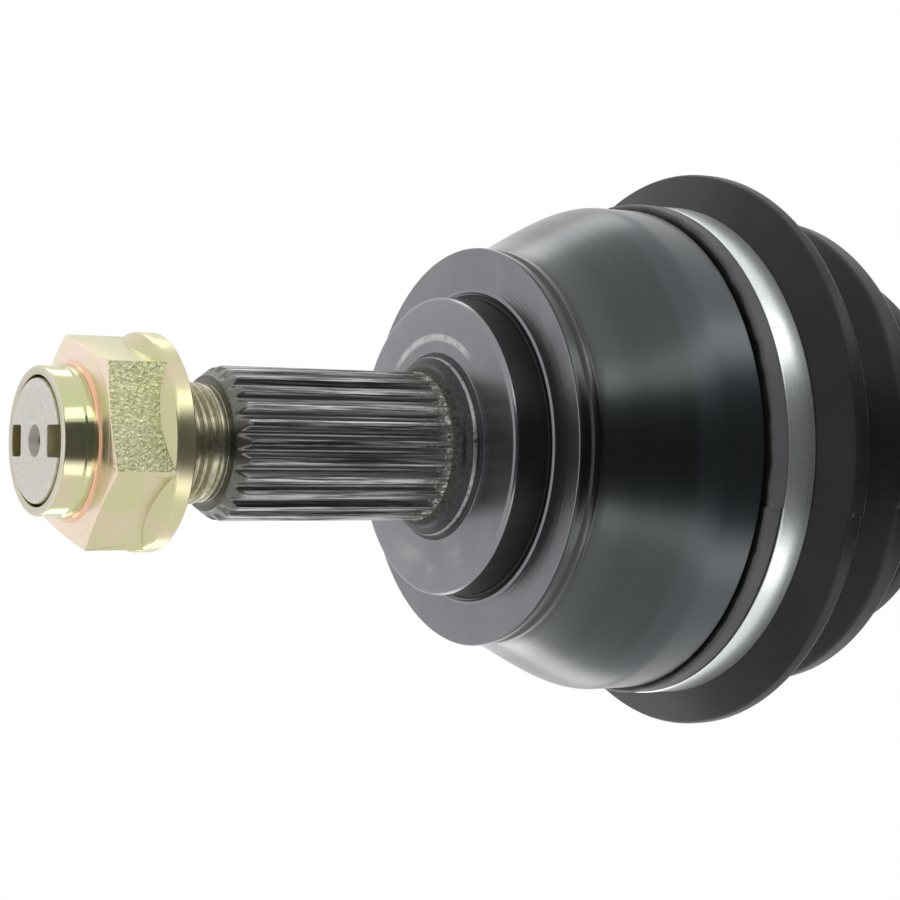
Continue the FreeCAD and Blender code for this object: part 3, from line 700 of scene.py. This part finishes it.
BLACK = black_oxide()
TURNED = turned_steel()
BOSS = boss_black_and_shade()
SHOULDER = shoulder_scale_and_highlight()
DARK = dark_steel()
STUB = stub_steel()
ZINC = zinc("zinc_satin", (0.6, 0.59, 0.33), (0.68, 0.58, 0.4), 0.28)
ZINC_COLLAR = zinc("zinc_collar", (0.57, 0.61, 0.33), (0.66, 0.57, 0.38), 0.15)
ZINC_GROOVE = zinc("zinc_groove", (0.9, 0.5, 0.36), (0.86, 0.62, 0.42), 0.26)
ZINC_CHAMFER = zinc("zinc_chamfer", (0.86, 0.76, 0.54), (0.95, 0.75, 0.66), 0.28)
ZINC_RIM = zinc("zinc_rim", (0.78, 0.74, 0.58), (0.84, 0.79, 0.66), 0.45)
ZINC_RIM.set("Metallic", 0.4)
ZINC_FORGED = zinc("zinc_forged", (0.84, 0.88, 0.48), (0.9, 0.88, 0.56), 0.32, grain=0.4)
RUBBER = rubber()
CLAMP = galvanised()
GROUND = ground_steel()
POLISHED = polished_steel()
SPRING = spring_steel()
PAINT = bar_paint()
CUP = cup_finish()

# Wheel joint: boss, flange and bell in one turning, hollow like the real one
bell_outline = [
    (-4.6, 0.0),
    (-4.6, 13.9),
    (-4.2, 14.3, 0.3),
    (-3.2, 15.0, 0.8),
    (-2.3, 15.6, 0.7),
    (-1.6, 16.6, 0.5),
    (-1.35, 17.0, 0.15),
    (-0.95, 17.1, 0.15),
    (-0.35, 17.25, 0.3),
    (0.0, 18.1, 0.6),
    (0.0, 28.6, 1.1),
    (7.35, 28.6, 0.3),
    (7.45, 29.35),
    (7.2, 29.9, 0.2),
    (7.5, 30.4, 0.2),
    (7.5, 38.4, 0.5),
    (8.5, 38.4, 0.35),
    (9.0, 37.5, 0.35),
    (10.4, 37.5, 0.35),
    (10.9, 38.25, 0.35),
    (11.6, 38.25, 0.4),
    (12.5, 37.8, 0.4),
]
bell_outline += bezier([(13.3, 38.4), (21.3, 42.4), (30.0, 47.8), (34.0, 47.8)], 22)
bell_outline += [
    (42.0, 47.8, 0.4),
    (42.6, 47.2, 0.3),
    (42.6, 45.6, 0.15),
    (54.6, 45.6, 0.3),
    (56.0, 44.2, 0.4),
    (56.0, 38.36, 0.5),
    (45.9, 33.14),
]
bell_outline += arc(35.0, 34.88, 71.8, 141.9, 20)[1:]
bell_outline += [(7.56, 0.0)]
bell = lathe("bell", bell_outline, steps=224, smooth_deg=34)

# Ball grooves, cut by a bent tube that is copied round
GROOVE_CENTRE = 39
GROOVE_REACH = 31.753
GROOVE_RADIUS = 8.9
GROOVE_START = 50
GROOVE_SWEEP = 94
deselect()
tilt = math.radians(GROOVE_START)
bpy.ops.mesh.primitive_circle_add(
    vertices=40,
    radius=GROOVE_RADIUS * MM,
    fill_type="NGON",
    location=(
        (GROOVE_CENTRE + GROOVE_REACH * math.sin(tilt)) * MM,
        0,
        GROOVE_REACH * math.cos(tilt) * MM,
    ),
    rotation=(0, math.radians(90 + GROOVE_START), 0),
)
cutter = named("ball_groove_cutter")
edit(cutter)
bpy.ops.mesh.select_all(action="SELECT")
bpy.ops.mesh.spin(
    steps=24,
    angle=math.radians(GROOVE_SWEEP),
    center=(GROOVE_CENTRE * MM, 0, 0),
    axis=(0, -1, 0),
    use_auto_merge=False,
)
settle(cutter)
grooves = [cutter]
for n in range(1, 6):
    twin = cutter.copy()
    twin.data = cutter.data.copy()
    bpy.context.collection.objects.link(twin)
    twin.rotation_euler = (math.radians(60 * n), 0, 0)
    grooves.append(twin)
deselect()
for obj in grooves:
    obj.select_set(True)
bpy.context.view_layer.objects.active = cutter
bpy.ops.object.join()
bpy.ops.object.transform_apply(location=True, rotation=True, scale=True)


boolean(bell, cutter, "DIFFERENCE")
settle(bell, 34)

# Stub: staked end with two slots, thread core, undercut and the cone that starts the spline
stub_outline = [
    (-74.8, 0.0),
    (-75.8, 1.5),
    (-79.3, 1.6),
    (-80.9, 3.0, 0.1),
    (-80.9, 11.0, 0.6),
    (-72.4, 11.0),
    (-71.9, 10.15),
    (-50.1, 10.15, 0.3),
    (-49.7, 10.75, 0.3),
    (-48.8, 10.65, 0.4),
    (-48.4, 10.3, 0.2),
    (-48.3, 12.3, 0.2),
    (-47.4, 12.7),
    (-46.5, 12.6),
    (-6.0, 12.6),
    (-4.0, 12.6),
    (-4.0, 0.0),
]
stub = lathe("stub", stub_outline, steps=160, smooth_deg=30)
SLOT_PLACE = (-76.9, 9.5)
SLOT_SIZE = (9.0, 7.0, 5.6)
for way in (-1, 1):
    deselect()
    slot_at = (SLOT_PLACE[0] * MM, way * SLOT_PLACE[1] * MM, 0)
    bpy.ops.mesh.primitive_cube_add(size=1, location=slot_at)
    block = named("stake_slot_cutter")
    block.scale = [length * MM for length in SLOT_SIZE]
    bpy.ops.object.transform_apply(location=True, rotation=True, scale=True)
    edit(block)
    floor_edge = lambda p: abs(p.z) > 2.7 * MM and abs(p.y) < 6.5 * MM
    pick(block, lambda p: p.x > -73 * MM or floor_edge(p), "EDGE")
    bpy.ops.mesh.bevel(offset=0.6 * MM, segments=3, affect="EDGES")
    settle(block)
    boolean(stub, block, "DIFFERENCE")
settle(stub, 30)

# Thread: one ridge section, screwed along the stub
THREAD_PITCH = 1.5
THREAD_TURNS = 14
THREAD_START = -71.2
RIDGE = [
    (-0.72, 10.0),
    (-0.62, 10.15),
    (-0.16, 10.9),
    (-0.06, 11.0),
    (0.06, 11.0),
    (0.16, 10.9),
    (0.62, 10.15),
    (0.72, 10.0),
]
thread = start_point("stub_thread")
bpy.ops.transform.translate(value=((RIDGE[0][0] + THREAD_START) * MM, -RIDGE[0][1] * MM, 0))
for a, b in zip(RIDGE, RIDGE[1:]):
    bpy.ops.mesh.extrude_region_move(
        TRANSFORM_OT_translate={"value": ((b[0] - a[0]) * MM, -(b[1] - a[1]) * MM, 0)}
    )
bpy.ops.object.mode_set(mode="OBJECT")
screw = thread.modifiers.new("screw", "SCREW")
screw.axis = "X"
screw.screw_offset = THREAD_PITCH * MM
screw.iterations = THREAD_TURNS
screw.steps = screw.render_steps = 72
screw.use_normal_calculate = True
apply_all(thread)
settle(thread, 50)

# Spline: a ring whose points form 25 rounded teeth, drawn along the stub
TEETH = 25
PER_TOOTH = 12
TOOTH_AT = 178.8
TOOTH_RADII = (14.1, 14.1, 14.02, 13.6, 13.05, 12.86, 12.82)
CIRCLE_AT = -45.9
deselect()
bpy.ops.mesh.primitive_circle_add(
    vertices=TEETH * PER_TOOTH,
    radius=MM,
    location=(CIRCLE_AT * MM, 0, 0),
    rotation=(0, math.radians(90), 0),
)
spline = named("stub_spline")
bpy.ops.object.transform_apply(location=True, rotation=True, scale=True)


def tooth_class(p):
    """Steps from the nearest tooth's middle."""
    n = round((angle_of(p) - TOOTH_AT) * TEETH * PER_TOOTH / 360.0) % PER_TOOTH
    return min(n, PER_TOOTH - n)


def set_ring(x, radii):
    """Move each point of the ring at x, 1 mm from the axis, out to its place in the tooth."""
    for k in range(PER_TOOTH // 2 + 1):
        pick(spline, lambda p: abs(p.x - x * MM) < 1e-6 and tooth_class(p) == k)
        bpy.ops.transform.resize(value=(1, radii[k], radii[k]), center_override=(x * MM, 0, 0))


def pushed(cap):
    """Tooth section held under a radius, for the cone at each end."""
    return [min(r, cap) for r in TOOTH_RADII]


def filled(floor):
    """Tooth section whose gaps are filled up to a radius, where the cutter runs out."""
    return [max(r, floor) for r in TOOTH_RADII]


rings = [
    (-48.25, pushed(12.2)),
    (-47.35, pushed(12.95)),
    (-46.75, pushed(13.35)),
    (-46.25, pushed(13.75)),
    (-45.6, pushed(14.02)),
    (-45.0, TOOTH_RADII),
    (-7.2, TOOTH_RADII),
    (-6.4, filled(12.9)),
    (-5.8, filled(13.1)),
    (-5.35, filled(13.5)),
    (-4.95, filled(13.95)),
    (-4.3, filled(14.2)),
]
edit(spline)
pick(spline, lambda p: True)
bpy.ops.transform.translate(value=((rings[0][0] - CIRCLE_AT) * MM, 0, 0))
for (x0, _), (x1, _) in zip(rings, rings[1:]):
    bpy.ops.mesh.extrude_region_move(TRANSFORM_OT_translate={"value": ((x1 - x0) * MM, 0, 0)})
for x, radii in rings:
    set_ring(x, radii)
settle(spline, 40)

# Hub nut: turned collar and flange, and a hexagon cut from a turned blank by six planes
nut = lathe(
    "hub_nut_turning",
    [
        (-66.0, 11.05),
        (-75.6, 11.05),
        (-76.2, 11.45, 0.2),
        (-80.6, 11.5, 0.3),
        (-80.6, 13.16, 0.55),
        (-76.7, 13.16, 0.2),
        (-76.3, 13.5, 0.2),
        (-74.9, 13.5, 0.25),
        (-74.5, 13.3, 0.3),
        (-74.1, 14.2, 0.6),
        (-73.8, 16.45, 0.12),
        (-72.9, 16.9),
        (-66.0, 16.0),
        (-64.9, 16.4),
        (-62.6, 19.35, 0.4),
        (-62.1, 19.55, 0.3),
        (-59.3, 19.55, 0.35),
        (-58.95, 19.1, 0.25),
        (-58.95, 12.6),
        (-60.2, 11.05),
        (-66.0, 11.05),
    ],
    steps=144,
)
NUT_TURN = 165.4
NUT_REACH = 16.95
nut_bearings = [math.radians(NUT_TURN + 60 * n) for n in range(6)]
nut_flats = [Vector((0, math.cos(a), math.sin(a))) for a in nut_bearings]
blank = lathe(
    "hub_nut",
    [
        (-66.0, 12.0),
        (-73.7, 12.0),
        (-73.8, 16.35),
        (-73.2, 19.57, 0.15),
        (-61.9, 19.57),
        (-61.9, 12.0),
        (-66.0, 12.0),
    ],
    steps=144,
)
edit(blank)
for flat in nut_flats:
    bpy.ops.mesh.select_all(action="SELECT")
    bpy.ops.mesh.bisect(
        plane_co=flat * NUT_REACH * MM, plane_no=flat, use_fill=True, clear_outer=True
    )


def on_flat(p):
    """True on any of the six flats."""
    return any(abs(p.dot(flat) - NUT_REACH * MM) < 2e-6 for flat in nut_flats)


pick(blank, on_flat, "EDGE")
bpy.ops.mesh.bevel(offset=0.2 * MM, segments=2, affect="EDGES", clamp_overlap=True)
settle(blank, 35)

# Boots: turned sleeves, with the half on one side of the parting line set slightly off
PARTING = 192.5
PARTING_HALF_WIDTH = 0.12
MOULD_STEP = 0.3
MOULD_SWELL = 1.006
LIP_WIDTH = 0.9
LIP_WAVE = 0.9
LIP_WAVELENGTH = 3.2


def boot_piece(name, outline, lip, steps=192):
    """A turned boot with a small step at its parting line and an uneven lip at its wide end."""
    obj = lathe(name, outline, steps=steps, smooth_deg=48, parts=6)
    edit(obj)
    for side in (PARTING - PARTING_HALF_WIDTH, PARTING + PARTING_HALF_WIDTH):
        a = math.radians(side)
        bpy.ops.mesh.select_all(action="SELECT")
        bpy.ops.mesh.bisect(plane_co=(0, 0, 0), plane_no=(0, -math.sin(a), math.cos(a)))
    low, high = lip
    way = 1 if high > low else -1
    reach = lambda p: (p.x / MM - low) * way
    upper = lambda p: (angle_of(p) - PARTING) % 360 > 180 and reach(p) < abs(high - low)
    pick(obj, upper)
    bpy.ops.transform.translate(value=(MOULD_STEP * way * MM, 0, 0))
    swell = (1, MOULD_SWELL, MOULD_SWELL)
    bpy.ops.transform.resize(value=swell, center_override=(0, 0, 0))
    bpy.ops.object.mode_set(mode="OBJECT")
    group = obj.vertex_groups.new(name="lip")
    edge = [v.index for v in obj.data.vertices if reach(v.co) < LIP_WIDTH]
    group.add(edge, 1.0, "REPLACE")
    texture = bpy.data.textures.new(name + "_edge", "CLOUDS")
    texture.noise_scale = LIP_WAVELENGTH * MM
    wave = obj.modifiers.new("wave", "DISPLACE")
    wave.texture = texture
    wave.vertex_group = "lip"
    wave.direction = "X"
    wave.texture_coords = "LOCAL"
    wave.mid_level = 0.5
    wave.strength = LIP_WAVE * MM
    apply_all(obj)
    return settle(obj, 48)


wheel_boot = boot_piece(
    "wheel_boot_rubber",
    [
        (42.95, 45.7),
        (42.95, 48.85, 0.8),
        (46.45, 48.85, 0.35),
        (46.45, 48.2, 0.15),
        (53.1, 48.2, 0.6),
        (57.0, 55.75, 0.9),
        (60.0, 55.75, 1.5),
        (68.2, 41.2, 2.6),
        (75.8, 48.3, 1.8),
        (80.8, 47.5, 2.6),
        (84.4, 43.6, 2.0),
        (87.6, 33.9, 1.9),
        (92.3, 38.4, 1.2),
        (96.6, 38.2, 2.4),
        (101.4, 26.6, 1.9),
        (106.2, 30.5, 1.1),
        (109.8, 30.3, 2.0),
        (113.9, 20.6, 1.8),
        (117.9, 24.0, 1.0),
        (121.1, 23.8, 1.7),
        (127.4, 15.6, 1.5),
        (140.2, 15.6, 0.3),
        (140.3, 16.6, 0.45),
        (142.5, 16.6, 0.45),
        (142.5, 12.06, 0.2),
        (129.5, 12.06),
        (127.3, 14.2, 1.0),
        (119.5, 20.9, 1.2),
        (113.9, 16.3, 2.6),
        (108.0, 27.4, 1.2),
        (101.4, 22.3, 2.8),
        (94.5, 35.4, 1.2),
        (87.5, 29.6, 2.8),
        (79.0, 45.0, 1.6),
        (68.3, 36.9, 3.2),
        (58.5, 52.8, 1.2),
        (56.6, 45.7),
        (42.95, 45.7),
    ],
    lip=(42.95, 122.0),
)
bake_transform(wheel_boot)
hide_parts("wheel_boot")


# Clamps: a rolled band and its pinched ear
CLAMP_WALL = 0.8
EAR_INSET = 0.15


def clamp_piece(name, x, width, inner, ear_width, ear_height):
    """Band with softened edges, and an ear drawn as a bent strip on +Y."""
    outer = inner + CLAMP_WALL
    band = lathe(
        name,
        [
            (x + width / 2, inner),
            (x, inner, 0.1),
            (x, outer, 0.3),
            (x + width, outer, 0.3),
            (x + width, inner, 0.1),
            (x + width / 2, inner),
        ],
        steps=192,
    )
    ear = start_point(name + "_ear")
    half = ear_width / 2
    side = [
        (outer - 0.35, 1.5),
        (outer + 0.1, 1.1),
        (outer + ear_height * 0.25, 0.62),
        (outer + ear_height * 0.55, 0.5),
        (outer + ear_height * 0.8, 0.78),
        (outer + ear_height * 0.97, 0.6),
    ]
    path = [(reach, -half * share) for reach, share in side]
    path.append((outer + ear_height, 0.0))
    path += [(reach, half * share) for reach, share in reversed(side)]
    first = ((x + EAR_INSET) * MM, path[0][0] * MM, path[0][1] * MM)
    bpy.ops.transform.translate(value=first)
    for a, b in zip(path, path[1:]):
        bpy.ops.mesh.extrude_region_move(
            TRANSFORM_OT_translate={"value": (0, (b[0] - a[0]) * MM, (b[1] - a[1]) * MM)}
        )
    bpy.ops.mesh.select_all(action="SELECT")
    across = ((width - 2 * EAR_INSET) * MM, 0, 0)
    bpy.ops.mesh.extrude_region_move(TRANSFORM_OT_translate={"value": across})
    bpy.ops.object.mode_set(mode="OBJECT")
    smooth = ear.modifiers.new("smooth", "SUBSURF")
    smooth.levels = smooth.render_levels = 2
    thick = ear.modifiers.new("thick", "SOLIDIFY")
    thick.thickness = CLAMP_WALL * MM
    thick.offset = 0
    soft = ear.modifiers.new("soft", "BEVEL")
    soft.width = 0.15 * MM
    soft.segments = 2
    soft.limit_method = "ANGLE"
    apply_all(ear)
    settle(ear, 40)
    deselect()
    ear.select_set(True)
    band.select_set(True)
    bpy.context.view_layer.objects.active = band
    bpy.ops.object.join()
    return band


# Gearbox boot: one turning cut in two, a wide half and a narrow half
GEARBOX_CUT = 370.95
wide_half = boot_piece(
    "gearbox_boot_wide_half",
    [
        (408.6, 41.1),
        (408.6, 44.3, 0.6),
        (405.0, 44.3, 0.4),
        (405.0, 43.6, 0.15),
        (398.2, 43.6, 0.8),
        (394.8, 50.0, 1.2),
        (391.6, 50.0, 2.5),
        (385.55, 40.7, 1.9),
        (379.5, 45.5, 1.2),
        (375.9, 45.5, 2.8),
        (370.95, 36.5, 1.9),
        (366.0, 40.5, 1.2),
        (362.4, 40.5, 2.5),
        (358.1, 30.6, 1.9),
        (353.8, 34.0, 1.2),
        (350.6, 34.0, 2.2),
        (346.9, 25.0, 1.6),
        (343.2, 28.0, 1.0),
        (340.2, 28.0, 2.0),
        (333.7, 15.6, 1.5),
        (320.9, 15.6, 0.3),
        (320.8, 16.6, 0.4),
        (318.7, 16.6, 0.4),
        (318.7, 12.06, 0.2),
        (331.7, 12.06),
        (333.9, 14.2, 1.0),
        (341.7, 24.9, 1.2),
        (346.9, 20.6, 2.8),
        (352.2, 30.9, 1.2),
        (358.1, 26.1, 2.8),
        (364.2, 37.4, 1.2),
        (370.95, 32.1, 2.8),
        (377.7, 42.4, 1.2),
        (385.55, 36.2, 2.8),
        (393.2, 46.9, 1.2),
        (395.4, 41.1),
        (408.6, 41.1),
    ],
    steps=144,
    lip=(408.6, 326.0),
)
narrow_half = wide_half.copy()
narrow_half.data = wide_half.data.copy()
narrow_half.name = narrow_half.data.name = "gearbox_boot_narrow_half"
bpy.context.collection.objects.link(narrow_half)
for half, wide in ((wide_half, True), (narrow_half, False)):
    edit(half)
    bpy.ops.mesh.select_all(action="SELECT")
    bpy.ops.mesh.bisect(
        plane_co=(GEARBOX_CUT * MM, 0, 0),
        plane_no=(1, 0, 0),
        clear_inner=wide,
        clear_outer=not wide,
    )
    bpy.ops.mesh.bridge_edge_loops()
    settle(half, 48)
    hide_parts("gearbox_boot")
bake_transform(wide_half)
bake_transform(narrow_half)

for base, width, inner, ear_width, ear_height, body in (
    ("wheel_boot_large_clamp", 6.6, 48.26, 9.0, 6.0, "wheel_joint"),
    ("gearbox_boot_large_clamp", 6.0, 43.66, 9.0, 6.0, "gearbox_joint"),
    ("wheel_boot_small_clamp", 6.0, 15.66, 7.0, 4.5, "shaft"),
    ("gearbox_boot_small_clamp", 6.0, 15.66, 7.0, 4.5, "shaft"),
):
    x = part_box(base)[0][0] / MM
    band = clamp_piece(base + "_band", x, width, inner, ear_width, ear_height)
    dress(band, CLAMP)
    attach(band, body)
    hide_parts(base)


def paint_faces(obj, finishes, choose):
    """Give an object several materials and pick one for each face by its middle and normal."""
    obj.data.materials.clear()
    for finish in finishes:
        obj.data.materials.append(finish.material)
    for p in obj.data.polygons:
        p.material_index = choose(p.center / MM, p.normal)


FACE, OUTSIDE, SIDE, ROOT = range(4)
SATIN, COLLAR, GROOVE, FRONT, FORGED, RIM = range(6)


def bell_zone(c, n):
    """Turned faces, black bell and rim, side of the boss, or root of the stub."""
    r = math.hypot(c.y, c.z)
    if c.x < 0.05 and r < 17.7:
        return ROOT
    if 0.9 < c.x < 7.6 and r < 29.5:
        return SIDE
    if c.x < 7.6 and r < 38.2:
        return FACE
    return OUTSIDE


def nut_zone(c, n):
    """End of the collar, polished collar, copper groove, front of the hexagon, or satin flange."""
    r = math.hypot(c.y, c.z)
    if c.x < -80.3:
        return RIM
    if c.x < -74.7:
        return COLLAR
    if c.x < -73.6 and r < 15.2:
        return GROOVE
    if c.x < -73.2:
        return FRONT
    return SATIN


def blank_zone(c, n):
    """Forged flats towards and away from -Y, smooth flats elsewhere, chamfer on the cone."""
    if abs(n.x) > 0.2:
        return FRONT
    if abs(n.dot(nut_flats[0])) > 0.97:
        return FORGED
    return SATIN


NUT_FINISHES = (ZINC, ZINC_COLLAR, ZINC_GROOVE, ZINC_CHAMFER, ZINC_FORGED, ZINC_RIM)
paint_faces(bell, (TURNED, BLACK, BOSS, SHOULDER), bell_zone)
dress(stub, STUB)
dress(thread, STUB)
dress(spline, DARK)
for piece in (wheel_boot, wide_half, narrow_half):
    dress(piece, RUBBER)
paint_faces(nut, NUT_FINISHES, nut_zone)
paint_faces(blank, NUT_FINISHES, blank_zone)
for piece in (bell, stub, thread, spline):
    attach(piece, "wheel_joint")
    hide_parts("wheel_joint_housing")
for piece in (nut, blank):
    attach(piece, "hub_nut")
    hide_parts("hub_nut")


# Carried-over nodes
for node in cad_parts:
    if "_ball_" in node:
        dress_node(node, POLISHED)
    elif "cage" in node or "inner_race" in node:
        dress_node(node, GROUND)
    elif "circlip" in node or "ring" in node:
        dress_node(node, SPRING)
    elif "clamp" in node:
        dress_node(node, CLAMP)
    elif "boot" in node:
        dress_node(node, RUBBER)
dress_node("drive_bar", PAINT)
dress_node("gearbox_joint_housing", CUP)
dress_node("wheel_joint_housing", BLACK)
dress_node("hub_nut", ZINC)
